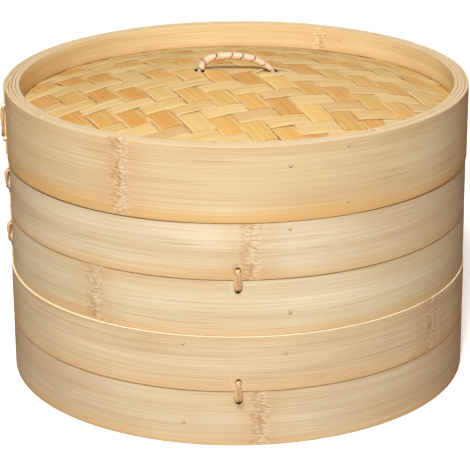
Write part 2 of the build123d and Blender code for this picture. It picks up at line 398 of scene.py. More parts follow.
def grain_shader(name, dark, light, seed, roughness, contrast, painted_bounce=0.0, coat=0.0, rim=(0.88, 0.77, 0.52)):
    """Split or planed bamboo. Reads grain_u (metres along the strip), grain_v (metres across it),
    level (0 at its lower edge to 1 at its upper one), edge (0 in the middle of the strip to 1 at its
    edges) and scar (millimetres to the nearest node of the stem)."""
    s = Shader(name, roughness)
    u = s.value("grain_u")
    v = s.value("grain_v")
    scar = s.value("scar")
    edge = s.value("edge")
    level = s.value("level")

    # Fibres bend a little where they pass the node.
    sway = s.grain(u, v, 9.0, 30.0, seed)
    near = s.spread(s.math("ABSOLUTE", scar), 14.0, 2.0)
    kink = s.grain(u, v, 240.0, 120.0, seed + 3.0)
    bend = s.times(s.swing(kink, 1.6 * MM), near)
    v_bent = s.plus(v, s.plus(bend, s.times(sway, 1.6 * MM)))

    fine = s.grain(u, v_bent, 13.0, 2300.0, seed + 7.0, 3.0, 0.6)
    streak = s.grain(u, v_bent, 3.0, 950.0, seed + 11.0, 4.0, 0.68)
    band = s.grain(u, v_bent, 3.0, 110.0, seed + 17.0)
    cloud = s.grain(u, v, 11.0, 26.0, seed + 23.0)
    tone = s.plus(s.swing(fine, 1.9 * contrast), s.swing(streak, 1.35 * contrast))
    tone = s.plus(tone, s.swing(band, 1.2 * contrast))
    tone = s.plus(tone, s.swing(cloud, 1.1))
    colour = s.mix(s.plus(tone, 0.52), dark, light)

    # Long ochre fibres, and faint grey-green skin left on the strip.
    line = s.spread(streak, 0.56, 0.66)
    colour = s.mix(s.times(line, 0.42 * contrast), colour, OCHRE_FIBRE)
    hair = s.grain(u, v_bent, 19.0, 2000.0, seed + 53.0, 1.0)
    colour = s.mix(s.times(s.spread(hair, 0.66, 0.74), 0.75 * contrast), colour, BROWN_HAIR)
    skin = s.grain(u, v, 7.0, 45.0, seed + 61.0, 3.0)
    colour = s.mix(s.spread(skin, 0.52, 0.70, 0.0, 0.30), colour, GREEN_SKIN)
    colour = s.mix(s.spread(skin, 0.46, 0.30, 0.0, 0.30), colour, TAN_SKIN)
    # The strip is more orange towards its lower edge: painted warm bounce light from the seam below. Its
    # upper edge has a colour of its own.
    ragged = s.plus(level, s.swing(cloud, 0.35))
    colour = s.mix(s.times(s.spread(ragged, 0.34, -0.02), 0.30 + painted_bounce), colour, PAINTED_BOUNCE_ORANGE)
    colour = s.mix(s.times(s.math("POWER", edge, 8.0), 0.30), colour, BROWN_ARRIS)
    # On a bottom band this upper edge colour is painted shade under the top band.
    colour = s.mix(s.spread(level, 0.982, 0.998, 0.0, 0.85), colour, rim)

    height = s.plus(s.times(fine, 0.55), s.times(streak, 0.45))
    colour, height = node_marks(s, colour, height, u, v, v_bent, scar, seed)
    s.bump(height, 0.55, 0.22 * MM)
    if coat:
        s.constant("Coat Weight", coat)
        s.constant("Coat Roughness", 0.35)
    s.constant("Specular IOR Level", 0.4)
    return s.finish(colour, s.plus(roughness - 0.06, s.times(fine, 0.16)))


def weave_shader():
    """Thin split strips of the lid, each with its own tone from the colour attribute."""
    s = Shader("weave_split_bamboo", 0.45)
    u = s.value("grain_u")
    v = s.value("grain_v")
    number = s.value("strip_number")
    fine = s.grain(u, v, 16.0, 2400.0, number, 4.0, 0.6)
    streak = s.grain(u, v, 9.0, 620.0, s.plus(number, 40.0), 3.0, 0.6)
    patch = s.grain(u, v, 45.0, 90.0, s.plus(number, 80.0))
    colour = s.mix(s.times(s.spread(streak, 0.45, 0.68), 0.46), s.colour("tone"), (0.60, 0.34, 0.09))
    colour = s.mix(s.times(s.spread(streak, 0.50, 0.32), 0.28), colour, (0.84, 0.66, 0.34))
    colour = s.mix(s.times(s.spread(patch, 0.52, 0.72), 0.25), colour, (0.72, 0.52, 0.22))
    colour = s.mix(s.times(s.spread(fine, 0.56, 0.72), 0.36), colour, (0.42, 0.23, 0.07))
    # The strip's arrises are painted pale in places: a painted highlight where the edges catch the light.
    edge_highlight = s.times(s.math("POWER", s.value("edge"), 8.0), s.spread(patch, 0.40, 0.55, 0.1, 0.55))
    colour = s.mix(edge_highlight, colour, (0.88, 0.71, 0.42))
    # Painted shade where a strip dives under its neighbours, darker in some patches than in others.
    diving = s.spread(s.value("float_height"), 0.75, -0.2)
    dive_shade = s.times(diving, s.spread(patch, 0.38, 0.56, 0.10, 0.90))
    colour = s.mix(dive_shade, colour, (0.34, 0.14, 0.035))
    s.bump(s.plus(s.times(fine, 0.4), streak), 0.6, 0.20 * MM)
    s.constant("Specular IOR Level", 0.3)
    return s.finish(colour, s.plus(0.36, s.times(fine, 0.18)))


def cane_shader(name, light, dark, lines):
    """Glossy cane skin, with so many fine lines a metre along the strand. Reads grain_u, grain_v and the
    groove value, which is 1 where the cane is painted nearly black as shade: in a groove, and where a strand
    goes into the wall."""
    s = Shader(name, 0.38)
    u = s.value("grain_u")
    v = s.value("grain_v")
    groove_and_shade = s.value("groove_and_shade")
    line = s.grain(u, v, 40.0, lines, 3.0, 3.0, 0.6)
    blotch = s.grain(u, v, 160.0, 160.0, 9.0)
    colour = s.mix(s.spread(line, 0.30, 0.70), dark, light)
    colour = s.mix(s.times(s.spread(blotch, 0.5, 0.75), 0.35), colour, (0.66, 0.36, 0.20))
    # Painted shade: the cane goes nearly black in its grooves and where a strand goes into the wall.
    colour = s.mix(s.spread(groove_and_shade, 0.25, 1.0), colour, (0.16, 0.07, 0.03))
    s.bump(s.math("SUBTRACT", line, s.times(groove_and_shade, 1.2)), 0.7, 0.25 * MM)
    s.constant("Coat Weight", 0.12)
    s.constant("Coat Roughness", 0.3)
    return s.finish(colour, s.plus(0.33, s.times(line, 0.15)))


def place_shader(name, dark, light, waves, roughness, rim_shade_colour=None):
    """Bamboo or dry leaf on a piece that has no grain values of its own: grain by place."""
    s = Shader(name, roughness)
    streak = s.place_noise(waves, 4.0, 0.6, 0.2)
    cloud = s.place_noise((60.0, 60.0, 60.0), 3.0)
    tone = s.plus(s.times(streak, 1.3), s.times(cloud, 0.5))
    colour = s.mix(s.spread(tone, 0.55, 1.25), dark, light)
    # A peg's dark rim is painted shade of the gap between its head and the wall.
    if rim_shade_colour:
        colour = s.mix(s.times(s.value("rim"), 0.8), colour, rim_shade_colour)
    s.bump(tone, 0.6, 0.3 * MM)
    s.constant("Specular IOR Level", 0.2)
    return s.finish(colour, s.plus(roughness - 0.08, s.times(cloud, 0.16)))


def hole_shader():
    """Wall of the holes bored for stitches, nearly black: scorch marks and painted shade."""
    s = Shader("bored_hole", 0.8)
    grit = s.place_noise((1500.0, 1500.0, 1500.0), 3.0)
    s.bump(grit, 0.5, 0.2 * MM)
    colour = s.mix(grit, (0.05, 0.022, 0.009), (0.17, 0.08, 0.03))
    return s.finish(colour, s.plus(0.7, s.times(grit, 0.2)))


HOLE = hole_shader()
WEAVE = weave_shader()
SPLIT = grain_shader("split_bamboo", (0.60, 0.42, 0.20), (0.86, 0.70, 0.42), 71.0, 0.62, 1.2)
RATTAN = cane_shader("rattan_strand", (0.88, 0.62, 0.36), (0.58, 0.33, 0.15), 2600.0)
HANDLE_CANE = cane_shader("handle_cane", (0.90, 0.70, 0.50), (0.60, 0.38, 0.23), 2400.0)
LEAF = place_shader("dry_leaf", (0.34, 0.17, 0.06), (0.56, 0.34, 0.14), (40.0, 700.0, 300.0), 0.7)
PEG = place_shader("peg_end_grain", (0.62, 0.42, 0.20), (0.86, 0.68, 0.41), (1300.0, 1300.0, 1300.0),
                   0.55, rim_shade_colour=(0.34, 0.18, 0.08))


# ---- wound hoops ----
CORNER = 0.38 * MM              # radius of a strip's worn corners
FACE_BULGE = 0.05               # of the outer face, as a share of the strip's thickness
PLY_GAP = 0.04 * MM             # between the turns of a hoop
INNER_TIP = 0.05 * MM           # thickness left at a strip's inner and outer ends
OUTER_TIP = 0.04 * MM
NODE_SPACING = 415 * MM         # between nodes of the stem along a strip
SEGMENTS = 240                  # of a whole turn
LEAN_TURN = math.radians(50)     # direction in which the upper tier's wall leans
HOLE_RADIUS = 1.6 * MM
HOLE_DEPTH = 2.6 * MM
HOLE_SIDES = 20
LEG_INSET = 0.95 * MM           # from a stitch's end to the middle of its hole


def rounded_section(brow, height, thickness):
    """Points (depth 0 to 1 from inside to outside, height 0 to 1) round a strip's section, starting
    at the inner lower corner. brow is the radius of the outer upper corner."""
    cut = 0.3
    ch = CORNER / height
    ct = CORNER / thickness
    bh = brow / height
    bt = brow / thickness
    points = [(ct, 0.0), (1 - ct, 0.0), (1 - cut * ct, cut * ch)]
    points += [(1.0 - FACE_BULGE * (2 * h - 1) ** 4, h) for h in np.linspace(ch, 1 - bh, 7)]
    points += [(1 - cut * bt, 1 - cut * bh), (1 - bt, 1.0), (ct, 1.0), (cut * ct, 1 - cut * ch)]
    points += [(0.0, h) for h in np.linspace(1 - ch, ch, 4)]
    points.append((cut * ct, cut * ch))
    return points


def leaning(angle):
    """How much of its lean a wall has: least at the back left and 1 at the front right."""
    return 0.55 + 0.45 * np.maximum(0.0, np.cos(angle - LEAN_TURN))


def wall_at(owner, degrees):
    """Radius of the outside of a tier's or the lid's wall at an angle."""
    if owner == "lid":
        return LID_RADIUS
    return outer_radius(f"{owner}_top_band") + WALL_LEAN[owner] * float(leaning(math.radians(degrees)))


def wound_strip(name, node, r_in, r_out, z_low, z_high, lap, scar_at, material, body, turns=2,
                ease=16.0, wave=0.12 * MM, socket=None, proud=0.0, lean=0.0, scar_turn=1, brow=CORNER):
    """A bamboo strip wound round into a hoop, both ends skived so that the wall stays even.
    lap is the angle, in degrees, where the outer end stops. scar_at is the angle of a node of the
    stem on turn scar_turn, counted from 0. ease is how many degrees the skived ends take. wave is
    how uneven the edges are. socket is (radius, height) shaved off the inside at the bottom. proud is
    how far the outer end stands off the turn below. lean is how much thicker the wall gets."""
    layer = (r_out - r_in) / turns
    strip = layer - PLY_GAP
    ease_turn = ease / 360
    count = int(SEGMENTS * (turns + ease_turn))
    s = np.linspace(-ease_turn, turns - 0.30 * ease_turn, count)
    start = math.radians(lap)
    angle = start + TURN * s

    def ramp(x):
        return smooth((x + ease_turn) / ease_turn)

    climbs = sum(ramp(s - k) for k in range(1, turns))
    inner = r_in + layer * climbs
    outer = np.where(s < 0, inner + np.maximum(strip * ramp(s), INNER_TIP), inner + strip)
    inner = np.where(s > turns - ease_turn, inner + (strip - OUTER_TIP) * ramp(s - turns), inner)
    outer = outer + proud * smooth((s - turns + 0.036) / 0.02)

    out_of_round = Wobble(3, 2, 5)
    low_wave = Wobble(5, 2, 11)
    high_wave = Wobble(5, 2, 11)
    ply_low = Wobble(4, 3, 13)
    ply_high = Wobble(4, 3, 13)
    bottom = z_low + 0.03 * MM + wave * (1 + low_wave(angle)) / 2
    top = z_high - 0.03 * MM - wave * (1 + high_wave(angle)) / 2
    inside = s < turns - 1
    bottom = bottom + np.where(inside, 0.05 * MM * (1 + ply_low(angle)), 0)
    top = top - np.where(inside, 0.08 * MM * (1 + ply_high(angle)), 0)
    squeeze = -0.10 * MM * (1 + out_of_round(angle))

    section = rounded_section(brow, z_high - z_low, strip)
    depth = np.array([p[0] for p in section])
    level = np.array([p[1] for p in section])
    radius = inner[:, None] + (outer - inner)[:, None] * depth[None, :] + squeeze[:, None]
    radius = radius + lean * leaning(angle)[:, None] * (radius - r_in) / (r_out - r_in)
    z = bottom[:, None] + (top - bottom)[:, None] * level[None, :]
    if socket:
        radius = np.where(z < socket[1], np.maximum(radius, socket[0] + 0.02 * MM), radius)
    points = on_wall(angle[:, None] + 0 * z, radius, z).reshape(-1, 3)

    middle = (r_in + r_out) / 2
    along = (TURN * s * middle)[:, None] + 0 * z
    first_scar = (math.radians(scar_at) - start) % TURN + TURN * scar_turn
    distance = (along - first_scar * middle + NODE_SPACING / 2) % NODE_SPACING - NODE_SPACING / 2
    obj = new_object(
        name, points, tube_faces(count, len(section)), material, body, [node],
        floats={
            "grain_u": along,
            "grain_v": z + 0.35 * depth[None, :] * strip,
            "scar": distance / MM,
            "edge": np.abs(2 * level - 1)[None, :] + 0 * z,
            "level": level[None, :] + 0 * z,
        },
    )
    sharpen(obj, 50)
    return obj


def hole_cutter(holes):
    """Round bars at the places of the holes, as one mesh."""
    work = bmesh.new()
    for degrees, height, wall in holes:
        across, out = (Vector(axis) for axis in wall_axes(degrees))
        ring_low = []
        ring_high = []
        for k in range(HOLE_SIDES):
            t = TURN * k / HOLE_SIDES
            spot = across * (HOLE_RADIUS * math.cos(t)) + Vector(UP) * (HOLE_RADIUS * math.sin(t) + height)
            ring_low.append(work.verts.new(spot + out * (wall - HOLE_DEPTH)))
            ring_high.append(work.verts.new(spot + out * (wall + 2 * MM)))
        for k in range(HOLE_SIDES):
            n = (k + 1) % HOLE_SIDES
            work.faces.new((ring_low[k], ring_low[n], ring_high[n], ring_high[k]))
        work.faces.new(list(reversed(ring_low)))
        work.faces.new(ring_high)
    bmesh.ops.recalc_face_normals(work, faces=work.faces)
    mesh = bpy.data.meshes.new("cutter")
    work.to_mesh(mesh)
    work.free()
    return mesh


def bore(obj, holes):
    """Drills holes into a hoop. holes is (angle in degrees, height, outer radius of the wall)."""
    mesh = hole_cutter(holes)
    cutter = bpy.data.objects.new("cutter", mesh)
    bpy.context.scene.collection.objects.link(cutter)
    cut = obj.modifiers.new("bore", "BOOLEAN")
    cut.operation = "DIFFERENCE"
    cut.solver = "FAST"
    cut.object = cutter
    graph = bpy.context.evaluated_depsgraph_get()
    bored = bpy.data.meshes.new_from_object(obj.evaluated_get(graph))
    obj.modifiers.clear()
    old = obj.data
    obj.data = bored
    bpy.data.meshes.remove(old)
    bpy.data.objects.remove(cutter)
    bpy.data.meshes.remove(mesh)

    # Faces near a hole and well inside the wall are the hole's own.
    bored.materials.append(HOLE)
    spots = [on_wall(math.radians(degrees), wall, height) for degrees, height, wall in holes]
    for face in bored.polygons:
        c = face.center
        for x, y, z in spots:
            sunk = math.hypot(x, y) - math.hypot(c.x, c.y)
            outward = abs(Vector((x, y, 0)).normalized().dot(face.normal))
            beside = math.hypot(math.hypot(c.x - x, c.y - y), c.z - z) < 4 * MM
            if beside and (sunk > 2.0 * MM or (sunk > 0.35 * MM and outward < 0.3)):
                face.material_index = 1
    sharpen(obj, 50)

    # The wall round the holes keeps the round wall's own normals, so that it doesn't look dented.
    normals = np.zeros((len(bored.loops), 3))
    for face in bored.polygons:
        middle = Vector((face.center.x, face.center.y, 0)).normalized()
        if middle.dot(face.normal) > 0.97 and abs(face.normal.z) < 0.02:
            for loop in face.loop_indices:
                spot = bored.vertices[bored.loops[loop].vertex_index].co
                normals[loop] = Vector((spot.x, spot.y, 0)).normalized()
    bored.normals_split_custom_set(normals)


def stitch_places(owner):
    """Stitches of a tier or the lid as (angle, height of the middle, length)."""
    if owner == "lid":
        return [(LID_STITCH[0], LID_BOTTOM + LID_STITCH[1] * MM, LID_STITCH_LENGTH)]
    low = TIER_BOTTOM[owner]
    places = [(a, low + BAND_HEIGHT, SEAM_STITCH_LENGTH) for a in SEAM_STITCHES]
    return places + [(a, low + z * MM, LAP_STITCH_LENGTH) for a, z in LAP_STITCHES[owner]]


def peg_places(owner):
    """Pegs of a tier or the lid as (angle, height)."""
    if owner == "lid":
        return [(a, LID_BOTTOM + z * MM) for a, z in LID_PEGS]
    return [(a, TIER_BOTTOM[owner] + z * MM) for a, z in TIER_PEGS[owner]]


def wall_holes(owner, z_low, z_high):
    """The holes of one band: one at both ends of each stitch."""
    holes = []
    for degrees, height, length in stitch_places(owner):
        for side in (-1, 1):
            end = height + side * (length / 2 - LEG_INSET)
            if z_low + HOLE_RADIUS < end < z_high - HOLE_RADIUS:
                holes.append((degrees, end, wall_at(owner, degrees)))
    return holes


BAND_LOOKS = {
    # node: (angle of the lap, angle of the stem's node, seed, dark, light)
    "upper_top_band": (-82, 3, 3.1, (0.68, 0.505, 0.29), (0.96, 0.87, 0.63)),
    "upper_bottom_band": (-82, -36, 9.7, (0.695, 0.53, 0.30), (0.955, 0.88, 0.63)),
    "lower_top_band": (163, 54, 15.3, (0.65, 0.445, 0.24), (0.95, 0.81, 0.555)),
    "lower_bottom_band": (208, 5, 22.9, (0.65, 0.46, 0.26), (0.94, 0.82, 0.585)),
}
# A bottom band's upper edge is hidden under the top band, so only its corner shows, painted dark as shade.
BAND_RIMS = {"bottom": (0.36, 0.21, 0.09), "top": (0.93, 0.84, 0.58)}
LID_RIM = (0.665, 0.54, 0.35)

for tier in ("lower", "upper"):
    for part in ("bottom", "top"):
        node = f"{tier}_{part}_band"
        lap, scar_at, seed, dark, light = BAND_LOOKS[node]
        low, high = heights(node)
        material = grain_shader(node + "_bamboo", dark, light, seed, 0.46, 0.85, painted_bounce=0.14, coat=0.06,
                                rim=BAND_RIMS[part])
        socket = (SOCKET_RADIUS, low + SOCKET_DEPTH) if part == "bottom" else None
        hoop = wound_strip(f"{node}_strip", node, SPLIT_RADIUS, outer_radius(node), low, high, lap,
                           scar_at, material, BODIES[tier], socket=socket,
                           proud=0.7 * MM, lean=WALL_LEAN[tier])
        bore(hoop, wall_holes(tier, low, high))
    node = f"{tier}_drum"
    low, high = heights(node)
    material = grain_shader(node + "_bamboo", (0.64, 0.45, 0.22), (0.88, 0.72, 0.44), 31.0 + low * 90,
                            0.52, 0.9)
    wound_strip(f"{node}_strip", node, INNER_RADIUS, DRUM_RADIUS, low, high, 150, 200, material,
                BODIES[tier])

low, high = heights("lid_outer_hoop")
material = grain_shader("lid_outer_bamboo", (0.68, 0.47, 0.23), (0.93, 0.78, 0.50), 41.3, 0.44, 0.8,
                        painted_bounce=0.46, coat=0.08, rim=LID_RIM)
hoop = wound_strip("lid_outer_strip", "lid_outer_hoop", SPLIT_RADIUS, LID_RADIUS, low, high, -81, -28,
                   material, "lid", socket=(SOCKET_RADIUS, low + SOCKET_DEPTH),
                   proud=0.8 * MM, brow=0.9 * MM)
bore(hoop, wall_holes("lid", low, high))
material = grain_shader("lid_inner_bamboo", (0.62, 0.42, 0.19), (0.85, 0.69, 0.40), 47.9, 0.48, 0.8,
                        painted_bounce=-0.22, rim=LID_RIM)
# The upper hoop presses on the weave, so its lower edge is out of sight between the strips.
low, high = heights("lid_upper_inner_hoop")
wound_strip("lid_upper_inner_strip", "lid_upper_inner_hoop", INNER_RADIUS, DRUM_RADIUS, low - 0.7 * MM,
            high, 60, 155, material, "lid", scar_turn=0)
low, high = heights("lid_lower_inner_hoop")
wound_strip("lid_lower_inner_strip", "lid_lower_inner_hoop", INNER_RADIUS, DRUM_RADIUS, low, high, 250,
            90, material, "lid")


# ---- pegs ----
PEG_SIDES = 16
SHORT_PEG = 2.1 * MM            # how deep a peg's mesh goes where its tip is out of sight


def peg_mesh(degrees, height, wall, length):
    """Round tapered peg with a softly domed, slightly chipped head and a cut tip. Returns points, faces, and
    how much of its rim's dark colour, painted shade of the gap round the head, each point has."""
    profile = [
        # (share of the radius, place along the peg, rim)
        (0.40, -length - 0.12 * MM, 0.0),
        (0.76, -length - 0.08 * MM, 0.6),
        (0.86, -length, 1.0),
        (1.0, -length * 0.4, 1.0),
        (1.0, -0.02 * MM, 1.0),
        (0.95, 0.07 * MM, 0.75),
        (0.70, 0.13 * MM, 0.0),
        (0.36, 0.16 * MM, 0.0),
    ]
    across, out = wall_axes(degrees)
    scale, place, rim_shade = np.array(profile).T
    t = sides(PEG_SIDES)
    r = PEG_RADIUS * scale[:, None] * (1 + 0.06 * Wobble(3, 2, 5)(t))
    path = UP * height + out * (wall + place)[:, None]
    points = tube_points(path, across, UP, r * np.cos(t), r * np.sin(t))
    return points, tube_faces(len(profile), PEG_SIDES), np.repeat(rim_shade, PEG_SIDES)


for owner, body in BODIES.items():
    parts = []
    for a, z in peg_places(owner):
        # The upper pegs at the lid's back go right through its wall.
        through = owner == "lid" and z > LID_BOTTOM + 30 * MM and a > 90
        length = LID_RADIUS - INNER_RADIUS + 0.05 * MM if through else SHORT_PEG
        parts.append(peg_mesh(a, z, wall_at(owner, a) - 0.10 * MM, length))
    points, faces = join_meshes([p[:2] for p in parts])
    made = new_object(f"{owner}_peg_heads", points, faces, PEG, body, [f"{owner}_pegs"],
                      floats={"rim": np.concatenate([p[2] for p in parts])})
    sharpen(made, 60)


# ---- rattan stitches ----
STRAND_WIDTH = 2.15 * MM
STRAND_THICKNESS = 1.5 * MM
STRAND_SIDES = 12
STRAND_STEPS = 34
SEAM_LIFT = 0.45 * MM           # how far a stitch stands off the wall
LAP_LIFT = 1.5 * MM             # more, because of the lapped end under it


def strand(path, flat_normals):
    """Flattened strand along a path. Returns points, faces, and per-point u and v."""
    tangent = tangents(path)
    out = flat_normals - tangent * (flat_normals * tangent).sum(axis=1)[:, None]
    out /= np.linalg.norm(out, axis=1)[:, None]
    t = sides(STRAND_SIDES)
    v = STRAND_WIDTH / 2 * np.cos(t)
    points = tube_points(path, np.cross(tangent, out), out, v, STRAND_THICKNESS / 2 * np.sin(t))
    u = np.repeat(lengths_along(path), STRAND_SIDES)
    return points, tube_faces(len(path), STRAND_SIDES), u, np.tile(v, len(path))


def strand_shade(rel, v):
    """Painted shade on a strand where it goes into the wall, at its lower end and down its sides. rel is -1
    at the stitch's lower end and 1 at its upper one."""
    at_ends = np.clip((np.abs(rel) - 0.88) / 0.10, 0.0, 1.0)
    low_down = np.clip((-rel - 0.45) / 0.7, 0.0, 0.5)
    return at_ends + low_down + 0.5 * np.abs(v / (STRAND_WIDTH / 2)) ** 4


def stitch_meshes(degrees, height, length, wall, lift):
    """Two strands twisted half round each other, both ends pulled into the wall. Each one is
    points, faces, and per-point u, v and groove."""
    across, out = wall_axes(degrees)
    sunk = 2.0 * MM
    t = np.linspace(-1, 1, STRAND_STEPS)[:, None]
    z = height + (length / 2 - LEG_INSET) * np.sin(t * math.pi / 2 * 0.97) * 1.03
    rise = 1 - np.abs(t) ** 5
    depth = (sunk + lift) * rise ** 0.7 - sunk
    twist = 0.55 + 1.9 * t * length / (13 * MM)
    apart = (1.08 - 0.35 * np.abs(t) ** 3) * MM
    normals = out + across * 0.45 * np.sin(twist) + UP * 0.9 * t ** 3
    meshes = []
    for side in (-1, 1):
        path = across * side * apart * np.cos(twist) + UP * z
        path = path + out * (wall + depth + side * 0.42 * MM * np.sin(twist) * rise)
        points, faces, u, v = strand(path, normals)
        meshes.append((points, faces, u, v, strand_shade((points[:, 2] - height) / (length / 2), v)))
    return meshes


for owner, body in BODIES.items():
    node = "lid_rattan_stitch" if owner == "lid" else f"{owner}_rattan_stitches"
    parts = []
    for number, (a, z, length) in enumerate(stitch_places(owner)):
        lapped = owner == "lid" or number >= len(SEAM_STITCHES)
        parts += stitch_meshes(a, z, length, wall_at(owner, a), LAP_LIFT if lapped else SEAM_LIFT)
    points, faces = join_meshes([p[:2] for p in parts])
    u, v, groove_and_shade = (np.concatenate([p[k] for p in parts]) for k in (2, 3, 4))
    new_object(f"{owner}_stitch_strands", points, faces, RATTAN, body, [node],
               floats={"grain_u": u, "grain_v": v, "groove_and_shade": groove_and_shade})


# ---- woven dome ----
# Golden strips run one way and pale ones the other. Each way has a direction along its strips and
# one across them, the pitch of its strips, and the place of strip 0.
GOLD_TURN = math.radians(-65.0)
PALE_TURN = math.radians(22.0)
GOLD_ALONG = np.array([math.cos(GOLD_TURN), math.sin(GOLD_TURN)])
GOLD_ACROSS = np.array([-math.sin(GOLD_TURN), math.cos(GOLD_TURN)])
PALE_ALONG = np.array([math.cos(PALE_TURN), math.sin(PALE_TURN)])
PALE_ACROSS = np.array([math.sin(PALE_TURN), -math.cos(PALE_TURN)])
GOLD_PITCH = 12.3 * MM
PALE_PITCH = 11.0 * MM
GOLD_START = 0.1 * MM
PALE_START = 8.0 * MM
GOLD_WIDTH = GOLD_PITCH - 0.35 * MM
PALE_WIDTH = PALE_PITCH - 0.3 * MM
STRIP_THICKNESS = 0.66 * MM
STRIP_LIFT = 0.42 * MM          # how far a strip passes over or under the weave's middle
STRIP_CROWN = 0.06 * MM
STRIP_COLUMNS = 7
STRIP_STEP = 1.5 * MM
WEAVE_EDGE = DRUM_RADIUS - 0.6 * MM
WEAVE_MIDDLE = DOME_SPHERE - MAT_THICKNESS / 2

LEG_SPREAD = 20.0 * MM          # from the lid's axis to a leg of the handle
# The right leg leans in a little where it passes the weave. Each leg pushes the weave up.
LEG_HOLES = (-LEG_SPREAD, LEG_SPREAD - 1.4 * MM)
LEG_PUSH = (1.9 * MM, 1.3 * MM)
# The handle tilts along Y, so the strips that cross Y keep further away from its legs.
GOLD_ROOM = 2.9 * MM
PALE_ROOM = 3.7 * MM

# Tones of the strips, from deep gold to straw. One letter for each strip, in their order.
TONES = {
    "o": (0.70, 0.370, 0.105), "g": (0.735, 0.445, 0.135), "y": (0.755, 0.52, 0.175),
    "p": (0.77, 0.57, 0.25), "l": (0.73, 0.555, 0.225), "c": (0.80, 0.625, 0.31),
    "s": (0.76, 0.56, 0.255), "r": (0.70, 0.495, 0.235),
}
WEAVE_TINT = np.array([0.92, 0.88, 0.81])
GOLD_TONES = "googoopgygoygoygglgyg"
PALE_TONES = "scspcsscpscsccpscrscprcs"


def float_height(distance):
    """Over two strips and under two: 1 on top and -1 below, from the place in a period of 4."""
    steepness = 3.4
    return np.tanh(steepness * np.sin(math.pi / 2 * (distance + 0.5))) / math.tanh(steepness)


def make_room(x, y, across, centre, room_needed):
    """Pushes a strip's points aside where a leg of the handle comes through the weave."""
    along = np.array([-across[1], across[0]])
    reach = 11.5 * MM
    for hx in LEG_HOLES:
        way = 1.0 if centre > hx * across[0] else -1.0
        u = way * ((x - hx) * across[0] + y * across[1])
        v = (x - hx) * along[0] + y * along[1]
        room = room_needed * np.exp(-(v / (5.5 * MM)) ** 2)
        moved = np.where(u < reach, room + u * (reach - room) / reach, u)
        moved = np.where(u < -reach / 2, u, moved)
        shift = (moved - u) * way
        x = x + shift * across[0]
        y = y + shift * across[1]
    return x, y


def both_faces(values):
    """Values of a strip's upper face, followed by the same for its lower face from right to left."""
    return np.concatenate([values, values[:, ::-1]], axis=1)


def weave_strip(name, along, across, centre, width, gold, number, tone):
    """One strip of the weave, from wall to wall, passing over two and under two."""
    low = centre - width / 2
    high = centre + width / 2
    if low * high > 0 and min(abs(low), abs(high)) > WEAVE_EDGE - 2 * MM:
        return
    across_at = np.linspace(low, high, STRIP_COLUMNS)
    across_at = np.clip(across_at, -(WEAVE_EDGE - 1 * MM), WEAVE_EDGE - 1 * MM)
    ends = np.sqrt(WEAVE_EDGE ** 2 - across_at ** 2)
    rows = max(12, int(2 * ends.max() / STRIP_STEP))
    t = np.linspace(-1, 1, rows)[:, None] * ends[None, :]
    drift = 0.35 * MM * np.sin(t / (38 * MM) + number * 1.7)
    a = across_at[None, :] + drift
    x = a * across[0] + t * along[0]
    y = a * across[1] + t * along[1]
    if gold:
        place = (x * PALE_ACROSS[0] + y * PALE_ACROSS[1] - PALE_START) / PALE_PITCH
        rise = float_height(place - number)
    else:
        place = (x * GOLD_ACROSS[0] + y * GOLD_ACROSS[1] - GOLD_START) / GOLD_PITCH
        rise = -float_height(number - place)
    f = np.linspace(-1, 1, STRIP_COLUMNS)[None, :]
    tilt = 0.10 * MM * math.sin(number * 2.3 + 0.5) * f
    lift = STRIP_LIFT * rise + tilt
    x, y = make_room(x, y, across, centre, GOLD_ROOM if gold else PALE_ROOM)
    for hx, push in zip(LEG_HOLES, LEG_PUSH):
        lift = lift + push * np.exp(-((x - hx) ** 2 + (y - 1 * MM) ** 2) / (9 * MM) ** 2)

    radius = np.minimum(np.sqrt(x ** 2 + y ** 2), WEAVE_EDGE)
    thick = STRIP_THICKNESS / 2 * (1 - 0.45 * f ** 4)
    crown = STRIP_CROWN * (1 - f ** 2) - 0.08 * MM
    upper = DOME_CENTRE + np.sqrt((WEAVE_MIDDLE + lift + thick + crown) ** 2 - radius ** 2)
    lower = DOME_CENTRE + np.sqrt((WEAVE_MIDDLE + lift - thick) ** 2 - radius ** 2)
    top = np.stack([x, y, upper], axis=-1)
    under = np.stack([x, y, lower], axis=-1)[:, ::-1]
    section = np.concatenate([top, under], axis=1)

    # The strips are painted darker towards the back and the sides: painted shade where the light falls off.
    falloff_shade = np.clip(np.hypot(x, y + 60 * MM) / (140 * MM), 0, 1)
    size = section.shape[1]
    tones = np.ones((rows * size, 4))
    tones[:, :3] = np.array(tone) * WEAVE_TINT * (1 - 0.14 * both_faces(falloff_shade).reshape(-1, 1))
    obj = new_object(
        name, section.reshape(-1, 3), tube_faces(rows, size), WEAVE, "lid",
        ["lid_woven_dome"],
        floats={
            "grain_u": both_faces(t),
            "grain_v": both_faces(a),
            "edge": both_faces(np.abs(f) + 0 * t),
            "float_height": both_faces(rise),
            "strip_number": np.full(rows * size, 3.7 * number + (0 if gold else 50)),
        },
        colours={"tone": tones},
    )
    sharpen(obj, 45)


def strip_tones(letters, seed):
    """Number and colour of each strip, counted from the middle one. Each colour differs a little."""
    first = -(len(letters) // 2)
    for number, letter in enumerate(letters, first):
        yield number, np.array(TONES[letter]) * (1 + 0.05 * math.sin(seed * 5.1 + number * 2.9))


